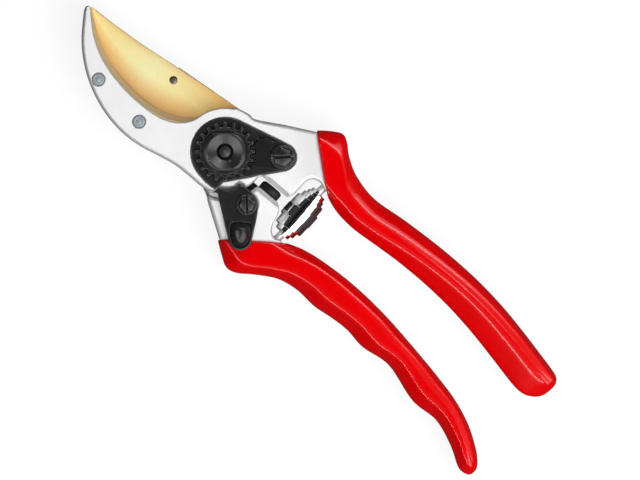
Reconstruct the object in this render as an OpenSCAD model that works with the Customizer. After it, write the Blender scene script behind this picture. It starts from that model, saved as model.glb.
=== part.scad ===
// One-hand bypass pruning shears, 215 mm long.
// +Y points from the pivot to the blade tip, +Z out of the nut side.
// The origin is on the pivot axis, on the flat rear face of the pivot bolt's head,
// and z = 0 is the surface that the shears lie on. Every length is in millimetres.

/* [Layers along the pivot] */
// Thickness of the pivot bolt's flat head
bolt_head_t = 2.2; // [1.8:0.1:2.6]
// Thickness of the bronze thrust washer under that head
washer_t = 0.5; // [0.3:0.1:0.8]
// Height of the rear forging's rear face above the surface
rear_face_z = 1.2; // [0.8:0.1:1.6]
// Thickness of the rear forging's round head
rear_head_t = 6.0; // [5:0.1:7]
// Thickness of the cutting blade
blade_t = 3.0; // [2.6:0.1:3.4]
// Running gap between the cutting blade and the hook plate
slide_gap = 0.05; // [0.03:0.01:0.08]
// Thickness of the hardened hook plate
hook_plate_t = 2.5; // [2:0.1:3]
// Thickness of the front forging's round head and hook arm
front_head_t = 4.3; // [3.8:0.1:4.8]
// Thickness of the black teardrop plate
plate_t = 1.2; // [1:0.1:1.5]
// How far the teardrop plate stands out of its recess
plate_proud = 0.4; // [0.2:0.1:0.6]
// Thickness of the thumb catch
catch_t = 2.2; // [1.8:0.1:2.6]

/* [Pivot] */
// Radius of the two round heads
hub_r = 15; // [14.8:0.1:15.2]
// Radius of the pivot bolt's shank
bolt_r = 4; // [3.5:0.1:4.2]
// Radius of the pivot bolt's head
bolt_head_r = 7; // [6.5:0.1:7.4]
// Radial clearance of what turns on a shank
run_gap = 0.05; // [0.02:0.01:0.09]
// Radial clearance of what is held still on a shank
hold_gap = 0.02; // [0.01:0.01:0.03]
// Number of teeth on the pivot nut
nut_teeth = 20; // [20]
// Radius over the nut's teeth
nut_tip_r = 10.4; // [10:0.1:10.6]
// Radius of the gaps between the nut's teeth
nut_root_r = 8.8; // [8.6:0.1:9]
// Thickness of the nut's toothed flange
nut_flange_t = 2.2; // [1.8:0.1:2.6]
// Height of the nut's boss above its flange
nut_boss_h = 3.0; // [2.4:0.1:3.4]
// Distance between the boss's two spanner flats
nut_flats = 12.5; // [12:0.1:13]

/* [Screws and rivets] */
// Radius of the lock segment screw's head
segment_head_r = 4.2; // [3.8:0.1:4.3]
// Radius of the catch screw's head
catch_head_r = 3.6; // [3.2:0.1:3.8]
// Radius of both screws' shanks
screw_r = 2.5; // [2:0.1:2.6]
// Height of both screws' heads
screw_head_t = 2.0; // [1.6:0.1:2.4]
// Width of the screwdriver slots
slot_w = 1.2; // [1:0.1:1.4]
// Radius of the hook rivets' heads
rivet_head_r = 2.1; // [1.9:0.1:2.3]
// Radius of the blade's locating pin
blade_pin_r = 1.3; // [1.1:0.1:1.5]

/* [Grips] */
// Height of the grips' middle plane above the surface
grip_mid_z = 8.5; // [8.5:0.1:9]
// Half the grips' thickness at their mouths
grip_mouth_h = 7.6; // [7.2:0.1:7.8]
// Half the grips' thickness at the palm
grip_palm_h = 8.5; // [8:0.1:8.5]
// Half the grips' thickness just before their rounded ends
grip_end_h = 7.2; // [6.6:0.1:7.6]
// Wall of the dipped grips
grip_wall = 1.4; // [1.2:0.1:1.8]
// Gap left between a grip and the tang inside it
grip_gap = 0.05; // [0.03:0.01:0.1]

/* [Spring and bumper] */
// Outer radius of the spring's middle turns
spring_mid_r = 5.7; // [5.2:0.1:5.8]
// Outer radius of the spring's end turns
spring_end_r = 2.4; // [2.3:0.1:2.6]
// Width of the spring's flat strip
strip_w = 4.0; // [3.6:0.1:4.1]
// Thickness of the spring's flat strip
strip_t = 0.7; // [0.5:0.1:0.8]
// Number of turns in the spring
spring_turns = 4.25; // [3.75:0.25:4.25]
// Radius of the rubber bumper's face
bumper_r = 4.1; // [3.6:0.1:4.3]
// How far the bumper stands out of its forging
bumper_h = 3.2; // [2.2:0.1:3.2]

/* [Hidden] */
$fn = 96;
eps = 0.01;
big = 80;

silver = [0.86, 0.87, 0.88];
steel = [0.70, 0.71, 0.73];
gold = [0.90, 0.72, 0.36];
black = [0.13, 0.13, 0.14];
red = [0.88, 0.03, 0.03];
bronze = [0.60, 0.44, 0.25];

// Heights that follow from the layers
blade_z = rear_face_z + rear_head_t;
blade_top = blade_z + blade_t;
hook_z = blade_top + slide_gap;
front_z = hook_z + hook_plate_t;
front_top = front_z + front_head_t;
plate_z = front_top + plate_proud - plate_t;
plate_top = front_top + plate_proud;
nut_top = plate_top + nut_flange_t + nut_boss_h;
segment_t = nut_flange_t - 0.4;
arm_low_z = rear_face_z + 0.3;
rear_arm_top = front_top - 0.4;
catch_seat_top = front_top + 0.2;
wave_t = 0.5;
catch_z = catch_seat_top + wave_t;
catch_top = catch_z + catch_t;

// Places in the plane of the shears
segment_screw_at = [13.0, -15.7];
catch_screw_at = [-7.7, -18.6];
blade_pin_at = [5.0, 30.9];
rivets_at = [[-13.5, 49.6], [-13.9, 29.0]];
thumb_at = [-16.6, -24.4];
plate_tip_r = 4.8;
rear_hub_r = hub_r - 0.6;
front_arm_clear_r = 17.5;
rear_arm_clear_r = 16.4;

// Mouths of the grips: the inner and the outer end of each straight edge
front_mouth = [[14.4, -36.5], [28.1, -17.4]];
rear_mouth = [[-7.3, -38.2], [-23.7, -20.0]];

// The spring's axis runs from the rear forging's pocket to the front one's
spring_from = [-8.1, -34.5];
spring_to = [14.4, -33.4];
peg_r = 1.4;
peg_reach = 3.6;

// ---------- helper functions ----------
function bend(a, b, c, d, t) =
    0.5 * (2 * b + (c - a) * t + (2 * a - 5 * b + 4 * c - d) * t * t + (3 * b - a - 3 * c + d) * t * t * t);

// A smooth line through the points p, with n steps between each two
function smooth(p, n = 5) = concat(
    [for (i = [0 : len(p) - 2]) for (k = [0 : n - 1])
        bend(p[max(i - 1, 0)], p[i], p[i + 1], p[min(i + 2, len(p) - 1)], k / n)],
    [p[len(p) - 1]]);

function arc(r, from, to, n = 12, at = [0, 0]) =
    [for (i = [0 : n]) at + r * [cos(from + (to - from) * i / n), sin(from + (to - from) * i / n)]];

function unit(v) = v / norm(v);
function toward(a, b, d) = a + unit(b - a) * d;
function flat_power(v, e) = sign(v) * pow(abs(v), 2 / e);

// A closed ring that spans from l to r in plan, h each way in height; e = 2 is an ellipse, more is boxier
function ring(l, r, h, e, sides) =
    let (m = (l + r) / 2, w = (r - l) / 2)
    [for (i = [0 : sides - 1])
        let (a = 360 * i / sides, x = flat_power(cos(a), e), z = flat_power(sin(a), e))
        [m.x + w.x * x, m.y + w.y * x, grip_mid_z + h * z]];

function joined(lists) = [for (l = lists) for (p = l) p];

// Two triangles for each cell between consecutive rings of n points, the first ring being number from
function skin(from, rings, n, flip = false) =
    [for (i = [0 : rings - 2]) for (j = [0 : n - 1])
        let (a = (from + i) * n + j, b = (from + i) * n + (j + 1) % n, c = b + n, d = a + n)
        for (t = flip ? [[a, b, c], [a, c, d]] : [[a, c, b], [a, d, c]]) t];

function cap(from, n, flip = false) =
    [for (j = [1 : n - 2]) flip ? [from * n, from * n + j + 1, from * n + j]
                                : [from * n, from * n + j, from * n + j + 1]];

// A solid through a list of rings that all have n points; each ring runs anticlockwise
// as seen from the last ring
module loft(rings) {
    n = len(rings[0]);
    polyhedron(points = joined(rings),
               faces = concat(skin(0, len(rings), n), cap(0, n), cap(len(rings) - 1, n, true)));
}

// A solid cup: outer rings, and inner rings that start at the same mouth
module cup(outer, inner) {
    n = len(outer[0]);
    no = len(outer);
    ni = len(inner);
    mouth = [for (j = [0 : n - 1])
        let (a = j, b = (j + 1) % n, c = no * n + (j + 1) % n, d = no * n + j)
        for (t = [[a, b, c], [a, c, d]]) t];
    polyhedron(points = concat(joined(outer), joined(inner)),
               faces = concat(skin(0, no, n), cap(no - 1, n, true),
                              skin(no, ni, n, true), cap(no + ni - 1, n), mouth));
}

module at(p, z = 0) { translate([p.x, p.y, z]) children(); }
module plate(z, t) { translate([0, 0, z]) linear_extrude(height = t) children(); }
module rod(z, t, r) { translate([0, 0, z]) cylinder(h = t, r = r); }

// A long block whose face runs from a to b in plan and whose body lies to the right of that line
module beyond(a, b) {
    translate([a.x, a.y, -big / 2]) rotate(atan2(b.y - a.y, b.x - a.x))
        translate([-big, -big, 0]) cube([3 * big, big, 2 * big]);
}

// A wedge that slopes the top (up = 1) or the bottom (up = -1) of an arm down to h at its mouth
module slope(mouth, z, drop, run, up) {
    translate([mouth[0].x, mouth[0].y, z]) rotate(atan2(mouth[1].y - mouth[0].y, mouth[1].x - mouth[0].x))
        translate([-big, 0, -up * drop]) rotate([up * atan(drop / run), 0, 0])
            translate([0, -big, up > 0 ? 0 : -big]) cube([2 * big, 2 * big, big]);
}

// ---------- outlines ----------
hook_inner = [[3.2, 14.7], [-0.6, 15.9], [-4.6, 19.2], [-7.4, 24.0], [-8.9, 30.5], [-9.4, 38.5],
              [-8.9, 47.0], [-7.0, 55.0], [-3.8, 61.7], [0.1, 66.8], [2.3, 69.4]];
hook_outer = [[0.2, 70.4], [-3.0, 67.9], [-8.0, 63.5], [-12.4, 58.2], [-16.0, 52.2], [-18.8, 45.2],
              [-20.5, 37.6], [-20.8, 30.0], [-19.8, 23.0], [-17.6, 15.8], [-15.8, 9.5],
              [-15.0, 3.0], [-14.6, -2.0], [-13.9, -5.2], [-12.9, -7.2]];
tip_end = [[2.6, 70.2], [1.5, 70.9]];

// Hook arm, round head and the notch for the catch, in plan
front_head_outline = concat(
    arc(hub_r, 10, 78, 16),
    smooth(hook_inner),
    tip_end,
    smooth(hook_outer),
    [[-10.7, -7.3]],
    arc(12.9, 218, 242, 6),
    [[-5.4, -11.2], [-4.5, -11.3]],
    arc(14.5, 255, 279, 6));

front_facet = [[3.1, -15.4], [4.1, -26.3]];
front_pocket = smooth([[4.1, -26.3], [5.6, -27.4], [8.6, -27.6], [12.6, -27.4], [15.0, -28.5],
                       [16.0, -30.9], [15.7, -33.3], [15.1, -35.5]], 4);
front_arm_outline = concat(
    [front_facet[0]], front_pocket,
    [toward(front_mouth[1], front_mouth[0], 0.6)],
    smooth([[22.0, -8.8], [16.6, -1.0], [15.2, 1.6], [14.9, 3.5]], 4),
    [[0, 0], [2.3, -14.3]]);

rear_facet = [[-0.4, -15.0], [0.5, -25.4]];
bumper_at = rear_facet[0] + 0.57 * (rear_facet[1] - rear_facet[0]);
facet_slant = 90 + atan2(rear_facet[1].y - rear_facet[0].y, rear_facet[1].x - rear_facet[0].x);
rear_pocket = smooth([[0.5, -25.4], [-0.7, -27.4], [-3.0, -28.8], [-6.0, -29.7], [-8.2, -31.3],
                      [-9.0, -33.3], [-8.7, -35.3], [-8.1, -37.3]], 4);
rear_arm_outline = concat(
    [rear_facet[0]], rear_pocket,
    [toward(rear_mouth[1], rear_mouth[0], 0.6)],
    smooth([[-16.7, -7.9], [-15.7, -6.4], [-14.6, -3.6], [-13.6, -0.5]], 4),
    [[0, 0]]);

// Tongue of the rear forging behind the blade
support_outline = concat(
    [[-10.0, 9.0], [-6.5, 17.0], [-1.0, 26.0], [2.6, 32.5]],
    arc(2.6, 150, 30, 6, [5.6, 33.0]),
    smooth([[9.6, 32.6], [10.7, 26.5], [12.0, 19.5], [13.3, 12.2], [14.4, 5.6]], 4),
    [[0, 0]]);

// Spine and cutting edge of the blade, paired from tip to heel
blade_spine = [[3.0, 69.6], [3.5, 65.5], [4.1, 60.5], [5.0, 54.5], [6.0, 48.5], [7.2, 42.5],
               [8.5, 36.5], [9.7, 30.5], [10.9, 24.5], [12.1, 18.5], [13.2, 12.8], [14.3, 6.5]];
blade_edge = [[2.5, 69.4], [-1.4, 65.0], [-4.9, 59.6], [-7.4, 53.6], [-9.1, 47.2], [-9.9, 40.8],
              [-9.9, 34.4], [-9.0, 28.2], [-7.2, 22.4], [-6.8, 17.6], [-8.6, 12.6], [-10.9, 8.8]];
blade_bevel = 0.34;
blade_edge_t = 0.25;

// Outer side and working edge of the hook plate, paired from tip to heel
hook_plate_outer = [[1.2, 70.0], [-2.6, 67.0], [-7.6, 62.4], [-11.8, 57.2], [-15.2, 51.2], [-17.8, 44.4],
                    [-19.2, 37.2], [-19.4, 30.0], [-18.4, 23.2], [-16.4, 16.4], [-14.7, 9.9], [-13.9, 3.0]];
hook_plate_edge = [[2.6, 69.6], [0.7, 66.4], [-2.1, 61.7], [-4.9, 55.8], [-6.6, 49.6], [-7.4, 43.2],
                   [-7.5, 36.8], [-6.9, 31.0], [-5.4, 25.6], [-2.8, 20.6], [0.8, 16.6], [4.6, 13.4]];
hook_edge_t = 0.7;
hook_bevel_w = 1.9;

teardrop_outline = concat(
    arc(12.6, 17.7, 178, 24),
    [[-12.8, -2.5], [-12.5, -5.3], [-11.8, -6.9], [-8.0, -6.9]],
    arc(plate_tip_r, 235, 377.7, 20, segment_screw_at + [0.1, 0]));

catch_outline = concat(
    [[-10.3, -7.5], [-10.9, -7.2], [-11.7, -7.6]],
    arc(4.2, 149, 307, 16, [-17.8, -25.3]),
    smooth([[-11.8, -26.4], [-8.4, -24.2], [-5.4, -21.9], [-3.9, -19.6], [-3.5, -17.0],
            [-3.6, -14.4], [-4.1, -12.5], [-4.9, -11.5]], 4),
    smooth([[-6.1, -12.3], [-7.4, -12.1], [-8.6, -11.0], [-9.5, -9.5], [-10.1, -8.1]], 4));

// Side stations of the grips, paired: inner side and outer side, from mouth to end
front_grip_inner = [[14.4, -36.5], [13.5, -39.6], [12.9, -42.8], [12.7, -45.6], [12.7, -48.6], [13.0, -52.6],
                    [14.3, -60.5], [15.9, -71.0], [17.0, -83.5], [17.2, -95.0], [16.5, -107.0],
                    [15.1, -119.0], [13.9, -128.5], [13.8, -133.0], [14.6, -135.8], [16.5, -138.4],
                    [18.7, -139.8], [20.8, -140.3]];
front_grip_outer = [[28.1, -17.4], [31.5, -21.2], [33.7, -24.9], [32.6, -28.1], [29.6, -32.2], [26.6, -39.0],
                    [25.4, -49.0], [27.7, -62.5], [29.8, -78.5], [30.8, -94.0], [30.5, -107.5],
                    [29.3, -119.5], [28.1, -128.5], [27.4, -133.6], [26.9, -136.6], [26.2, -138.7],
                    [24.7, -140.0], [23.0, -140.4]];
rear_grip_inner = [[-7.3, -38.2], [-6.2, -40.6], [-5.2, -43.0], [-4.5, -45.3], [-3.7, -48.3], [-2.7, -53.5],
                   [-1.7, -60.5], [-1.1, -67.5], [-0.9, -75.0], [-1.0, -82.5], [-1.6, -92.0],
                   [-2.3, -100.5], [-3.3, -110.0], [-4.7, -119.3], [-7.4, -128.3], [-11.0, -135.4],
                   [-13.4, -138.9], [-15.4, -140.9], [-16.9, -141.7]];
rear_grip_outer = [[-23.7, -20.0], [-26.4, -24.6], [-28.4, -28.9], [-27.3, -32.9], [-23.0, -38.1], [-18.4, -44.9],
                   [-16.4, -52.5], [-16.2, -60.5], [-14.7, -68.2], [-13.9, -75.0], [-14.3, -83.0],
                   [-12.3, -94.0], [-15.2, -108.5], [-14.2, -119.3], [-16.8, -129.0], [-20.2, -136.1],
                   [-20.5, -139.0], [-19.8, -140.9], [-18.7, -141.7]];
grip_sides = 16;
grip_boxiness = 2.7;
tang_boxiness = 3.4;
end_stations = 5;
end_heights = [1, 0.93, 0.8, 0.58, 0.3];

// Half thickness of a grip at each station, from the mouth over the palm to the rounded end
function grip_heights(n) = [for (i = [0 : n - 1])
    i >= n - end_stations ? grip_end_h * end_heights[i - n + end_stations]
    : i < 6 ? grip_mouth_h + (grip_palm_h - grip_mouth_h) * i / 6
    : grip_palm_h + (grip_end_h - grip_palm_h) * pow((i - 6) / (n - end_stations - 6), 2)];

function grip_rings(left, right, inset, boxiness, drop_last) =
    let (l = smooth(left, 2), r = smooth(right, 2), h = smooth(grip_heights(len(left)), 2))
    [for (i = [0 : len(l) - 1 - drop_last])
        ring(toward(l[i], r[i], inset), toward(r[i], l[i], inset), h[i] - inset, boxiness, grip_sides)];

module grip(left, right) {
    cup(grip_rings(left, right, 0, grip_boxiness, 0),
        grip_rings(left, right, grip_wall, tang_boxiness, 2 * end_stations));
}

// The tang inside a grip starts a little way inside its arm
module tang(left, right) {
    rings = grip_rings(left, right, grip_wall + grip_gap, tang_boxiness, 2 * end_stations + 2);
    back = 0.4 * unit(rings[0][0] + rings[0][grip_sides / 2] - rings[1][0] - rings[1][grip_sides / 2]);
    loft(concat([[for (p = rings[0]) p + back]], rings));
}

// ---------- blades ----------
// A blade body between two paired lines: full thickness on the back, ground from one face to a thin edge
module ground_strip(back, edge, z, t, edge_t, share, width, front_bevel) {
    b = smooth(back, 4);
    e = smooth(edge, 4);
    rings = [for (i = [0 : len(b) - 1])
        let (w = norm(b[i] - e[i]), land = toward(e[i], b[i], min(width > 0 ? width : share * w, 0.7 * w)))
        front_bevel
            ? [[b[i].x, b[i].y, z + t], [b[i].x, b[i].y, z], [e[i].x, e[i].y, z],
               [e[i].x, e[i].y, z + edge_t], [land.x, land.y, z + t]]
            : [[b[i].x, b[i].y, z], [b[i].x, b[i].y, z + t], [e[i].x, e[i].y, z + t],
               [e[i].x, e[i].y, z + t - edge_t], [land.x, land.y, z]]];
    loft(rings);
}

module cutting_blade() {
    color(gold) difference() {
        union() {
            ground_strip(blade_spine, blade_edge, blade_z, blade_t, blade_edge_t, blade_bevel, 0, false);
            rod(blade_z, blade_t, rear_hub_r);
        }
        rod(blade_z - 1, blade_t + 2, bolt_r + run_gap);
        at(blade_pin_at, blade_z - 1) cylinder(h = blade_t + 2, r = blade_pin_r + hold_gap);
    }
}

module hook_plate() {
    color(steel) difference() {
        union() {
            ground_strip(hook_plate_outer, hook_plate_edge, hook_z, hook_plate_t, hook_edge_t, 0, hook_bevel_w, true);
            rod(hook_z, hook_plate_t, hub_r - 0.8);
        }
        rod(hook_z - 1, hook_plate_t + 2, bolt_r + hold_gap);
        for (p = rivets_at) at(p, hook_z - 1) cylinder(h = hook_plate_t + 2, r = rivet_r() + hold_gap);
        beyond([-30, -7.2], [-9.6, -7.2]);
    }
}

// ---------- front half: hook, nut side ----------
function rivet_r() = rivet_head_r * 0.7;

module spring_peg(from, to, mouth) {
    difference() {
        at(from, grip_mid_z) rotate(atan2(to.y - from.y, to.x - from.x)) translate([-3.2, 0, 0])
            rotate([0, 90, 0]) cylinder(h = peg_reach + 3.2, r = peg_r);
        children();
    }
}

module front_forging() {
    color(silver) {
        difference() {
            union() {
                plate(front_z, front_head_t) polygon(front_head_outline);
                difference() {
                    plate(hook_z, front_top - hook_z) polygon(front_arm_outline);
                    rod(hook_z - 1, front_z - hook_z + 1, hub_r - 0.8 + run_gap);
                }
                difference() {
                    plate(arm_low_z, hook_z - arm_low_z + eps) polygon(front_arm_outline);
                    rod(-1, hook_z + 1, front_arm_clear_r);
                }
            }
            slope(front_mouth, front_top, front_top - grip_mid_z - grip_mouth_h + 0.7, 9, 1);
            slope(front_mouth, arm_low_z, grip_mid_z - grip_mouth_h + 0.7 - arm_low_z, 9, -1);
            rod(front_z - 1, front_head_t + 2, bolt_r + hold_gap);
            plate(plate_z, 2) polygon(teardrop_outline);
            at(segment_screw_at, hook_z + 1) cylinder(h = 10, r = screw_r + hold_gap);
            for (p = rivets_at) at(p) {
                rod(front_z - 1, front_head_t + 2, rivet_r() + hold_gap);
                rod(front_top - 1, 2, rivet_head_r + hold_gap);
            }
        }
        spring_peg(spring_to, spring_from, front_mouth) beyond(front_mouth[0], front_mouth[1]);
        tang(front_grip_inner, front_grip_outer);
    }
}

module hook_rivets() {
    color(steel) for (p = rivets_at) at(p) difference() {
        union() {
            rod(hook_z + 0.1, front_top - hook_z - 0.1, rivet_r());
            rod(front_top - 1 + hold_gap, 1.15, rivet_head_r);
        }
        rod(front_top - 0.25, 1, rivet_head_r * 0.5);
    }
}

module front_grip() { color(red) grip(front_grip_inner, front_grip_outer); }

module teardrop_plate() {
    color(black) difference() {
        plate(plate_z, plate_t) offset(delta = -0.05) polygon(teardrop_outline);
        rod(plate_z - 1, plate_t + 2, bolt_r + hold_gap);
        at(segment_screw_at, plate_z - 1) cylinder(h = plate_t + 2, r = screw_r + hold_gap);
    }
}

module pivot_bolt() {
    pip_r = 1.9;
    color(steel) {
        rod(0, bolt_head_t, bolt_head_r);
        rod(bolt_head_t - eps, nut_top - 2.0 - bolt_head_t, bolt_r);
        intersection() {
            rod(nut_top - 2.2, 1.8, pip_r);
            translate([0, 0, nut_top - 2.6]) sphere(r = 2.4);
        }
    }
}

// Four corners of a tooth at the angle a, from its root at r0 to its tip at r1; way = -1 runs clockwise
function tooth(a, r0, r1, root_half, tip_half, way = 1) =
    [for (p = [[r0, -root_half], [r1, -tip_half], [r1, tip_half], [r0, root_half]])
        p[0] * [cos(a + way * p[1]), sin(a + way * p[1])]];

module pivot_nut() {
    pitch = 360 / nut_teeth;
    boss_r = 7.7;
    hole_r = 2.8;
    z0 = plate_top;
    color(black) difference() {
        union() {
            plate(z0, nut_flange_t) polygon([for (i = [0 : nut_teeth - 1])
                for (p = tooth(pitch * (i + 0.5), nut_root_r, nut_tip_r, 5.2, 3.0)) p]);
            intersection() {
                translate([0, 0, z0]) rotate_extrude() polygon([[0, 0], [boss_r, 0],
                    [boss_r, nut_flange_t + 0.7], [5.0, nut_flange_t + nut_boss_h],
                    [4.2, nut_flange_t + nut_boss_h], [3.6, nut_flange_t + nut_boss_h - 0.9], [0, nut_flange_t + 1]]);
                rotate(45) translate([-big, -nut_flats / 2, 0]) cube([2 * big, nut_flats, big]);
            }
        }
        rod(z0 - 1, nut_top - 1.9 - z0 + 1, bolt_r + hold_gap);
        rod(z0, nut_top, hole_r);
    }
}

module lock_segment() {
    pitch = 360 / nut_teeth;
    color(black) difference() {
        plate(plate_top, segment_t) polygon(concat(
            [for (i = [-2 : -1 : -4]) for (p = tooth(pitch * i, 10.8, nut_root_r + 0.4, 5.0, 2.8, -1)) p],
            [[3.4, -11.3], [4.8, -12.9]],
            arc(4.5, 218, 395, 20, segment_screw_at),
            [[14.6, -9.5], [13.5, -6.8], [11.6, -4.7], [10.7, -5.2]]));
        at(segment_screw_at, plate_top - 1) cylinder(h = segment_t + 2, r = screw_r + hold_gap);
    }
}

// A slotted screw with a low domed head; the slot runs along the angle turn
module slotted_screw(z_low, z_seat, head_r, turn) {
    difference() {
        union() {
            rod(z_low, z_seat - z_low + eps, screw_r);
            intersection() {
                rod(z_seat, screw_head_t, head_r);
                translate([0, 0, z_seat + screw_head_t - 2.2 * head_r]) sphere(r = 2.2 * head_r);
            }
        }
        rotate(turn) translate([-big / 2, -slot_w / 2, z_seat + 0.8]) cube([big, slot_w, big]);
    }
}

module segment_screw() {
    color(black) at(segment_screw_at) slotted_screw(hook_z + 1.2, plate_top + segment_t, segment_head_r, -42);
}

// ---------- rear half: cutting blade ----------
module rear_forging() {
    color(silver) {
        difference() {
            union() {
                rod(rear_face_z, rear_head_t, rear_hub_r);
                plate(rear_face_z + 1.4, rear_head_t - 1.4) polygon(support_outline);
                plate(arm_low_z, blade_z - arm_low_z) polygon(rear_arm_outline);
                difference() {
                    plate(blade_z - eps, rear_arm_top - blade_z + eps) polygon(rear_arm_outline);
                    rod(0, hook_z - 0.02, rear_hub_r + hold_gap);
                    rod(hook_z - 0.02, big, rear_arm_clear_r);
                }
                at(catch_screw_at) rod(blade_z, catch_seat_top - blade_z, 4.3);
            }
            slope([rear_mouth[1], rear_mouth[0]], rear_arm_top,
                  rear_arm_top - grip_mid_z - grip_mouth_h + 0.7, 8, 1);
            slope([rear_mouth[1], rear_mouth[0]], arm_low_z,
                  grip_mid_z - grip_mouth_h + 0.7 - arm_low_z, 8, -1);
            rod(-1, big, bolt_r + run_gap);
            rod(0, bolt_head_t + washer_t, bolt_head_r + 0.4);
            at(blade_pin_at, 0) cylinder(h = 20, r = blade_pin_r + hold_gap);
            at(catch_screw_at, 6) cylinder(h = 20, r = screw_r + hold_gap);
            at(bumper_at, grip_mid_z + 0.5) rotate([0, 90, facet_slant])
                translate([0, 0, -5]) cylinder(h = 12, r = 2 + hold_gap);
        }
        spring_peg(spring_from, spring_to, rear_mouth) beyond(rear_mouth[1], rear_mouth[0]);
        tang(rear_grip_outer, rear_grip_inner);
    }
}

module blade_pin() {
    color(steel) at(blade_pin_at) rod(rear_face_z + 1.6, blade_top - rear_face_z - 1.6, blade_pin_r);
}

module rear_grip() { color(red) grip(rear_grip_outer, rear_grip_inner); }

module thrust_washer() {
    color(bronze) difference() {
        rod(bolt_head_t + 0.02, washer_t - 0.04, bolt_head_r);
        rod(0, big, bolt_r + run_gap);
    }
}

module rubber_bumper() {
    color(black) at(bumper_at, grip_mid_z + 0.5) rotate([0, 90, facet_slant]) {
        translate([0, 0, -4.8]) cylinder(h = 5, r = 2);
        cylinder(h = bumper_h - 0.6, r = bumper_r);
        translate([0, 0, bumper_h - 0.6]) cylinder(h = 0.6, r1 = bumper_r, r2 = bumper_r - 0.6);
    }
}

// A flat strip wound from a narrow end over a wide middle to a narrow end
module volute_spring() {
    steps = 20;
    n = round(spring_turns * steps);
    axis_len = norm(spring_to - spring_from);
    rings = [for (i = [0 : n])
        let (t = i / n, a = 360 * i / steps, x = strip_w / 2 + (axis_len - strip_w) * t,
             r = spring_end_r + (spring_mid_r - spring_end_r) * pow(sin(180 * t), 1.3))
        [for (c = [[-1, -1], [1, -1], [1, 0], [-1, 0]])
            [x + c[0] * strip_w / 2, (r + c[1] * strip_t) * cos(a), (r + c[1] * strip_t) * sin(a)]]];
    color(steel) at(spring_from, grip_mid_z)
        rotate(atan2(spring_to.y - spring_from.y, spring_to.x - spring_from.x)) loft(rings);
}

// ---------- thumb catch ----------
module catch_lever() {
    color(black) difference() {
        plate(catch_z, catch_t) polygon(catch_outline);
        at(catch_screw_at, catch_z - 1) cylinder(h = catch_t + 2, r = screw_r + run_gap);
    }
}

module thumb_pad() {
    color(black) at(thumb_at, catch_top) rotate(42) intersection() {
        scale([1.32, 1, 1]) cylinder(h = 3.2, r = 3.5);
        translate([0, 0, -4.2]) scale([1.32, 1, 1]) sphere(r = 7.4);
    }
}

module catch_screw() {
    color(black) at(catch_screw_at) slotted_screw(6.4, catch_top + 0.05, catch_head_r, 48);
}

module catch_wave_washer() {
    color(steel) at(catch_screw_at) difference() {
        rod(catch_seat_top, wave_t - 0.02, 4.2);
        rod(0, big, screw_r + run_gap);
    }
}

front_forging();
hook_plate();
hook_rivets();
front_grip();
teardrop_plate();
pivot_bolt();
pivot_nut();
lock_segment();
segment_screw();
rear_forging();
cutting_blade();
blade_pin();
rear_grip();
thrust_washer();
rubber_bumper();
volute_spring();
catch_lever();
thumb_pad();
catch_screw();
catch_wave_washer();
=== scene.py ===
import itertools
import math

import bmesh
import bpy
import numpy as np
from mathutils import Matrix, Vector


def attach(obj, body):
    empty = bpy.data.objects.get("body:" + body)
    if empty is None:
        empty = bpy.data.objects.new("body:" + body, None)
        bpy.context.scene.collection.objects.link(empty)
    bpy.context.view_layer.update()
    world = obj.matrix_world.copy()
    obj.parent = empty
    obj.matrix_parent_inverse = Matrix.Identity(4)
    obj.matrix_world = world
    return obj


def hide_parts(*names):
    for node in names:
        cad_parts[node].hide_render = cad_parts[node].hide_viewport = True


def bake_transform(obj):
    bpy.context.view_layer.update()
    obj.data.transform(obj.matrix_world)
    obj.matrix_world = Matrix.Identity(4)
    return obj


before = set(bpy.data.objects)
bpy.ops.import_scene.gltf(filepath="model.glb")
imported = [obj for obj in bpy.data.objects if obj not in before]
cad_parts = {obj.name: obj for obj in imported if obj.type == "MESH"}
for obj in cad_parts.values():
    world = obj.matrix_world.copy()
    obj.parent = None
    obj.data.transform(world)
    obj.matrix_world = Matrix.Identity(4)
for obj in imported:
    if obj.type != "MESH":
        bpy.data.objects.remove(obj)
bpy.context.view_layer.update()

MM = 0.001
scene = bpy.context.scene

# ---------- sizes (mm)
# Heights from the underside up: (low, high) of each layer in the pivot's stack
HEAD_REAR = (1.2, 7.2)
BLADE_Z = (7.2, 10.2)
HOOK_Z = (10.25, 12.75)
FRONT_Z = (12.75, 17.05)
PLATE_Z = (16.25, 17.45)
CATCH_Z = (17.75, 19.95)
NUT_Z0 = PLATE_Z[1]
SEGMENT_TOP = PLATE_Z[1] + 1.8
NUT_TOP = NUT_Z0 + 5.2
ARM_LOW = 1.5
REAR_TOP = 16.65
TANG_Z = (2.9, 14.1)
GRIP_MID = 8.5
# Radii about the pivot
HUB_R = 15.4
REAR_HUB_R = 14.4
HOOK_DISC_R = 14.2
BOLT_FIT_R = 4.02
BOLT_RUN_R = 4.05
# Places in plan
SEGMENT_AT = (13.0, -15.7)
CATCH_AT = (-7.7, -18.6)
PIN_AT = (5.0, 30.9)
RIVETS_AT = ((-13.5, 49.6), (-13.9, 29.0))
THUMB_AT = (-16.6, -24.4)
THUMB_TURN = 43
FRONT_MOUTH = ((14.4, -36.5), (28.1, -17.4))
REAR_MOUTH = ((-7.3, -38.2), (-23.7, -20.0))
SPRING_FROM = (-8.1, -34.5)
SPRING_TO = (14.4, -33.4)
# Other sizes
NUT_TEETH = 20
PEG_R = 1.4
PEG_HALF = 3.6
FACET_CHAMFER = 1.35
GRIP_WALL = 1.4
GRIP_SKIN = 0.13
# Grid steps of the carved meshes
COARSE, MEDIUM, FINE, FINEST = 0.25, 0.15, 0.13, 0.12


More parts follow.
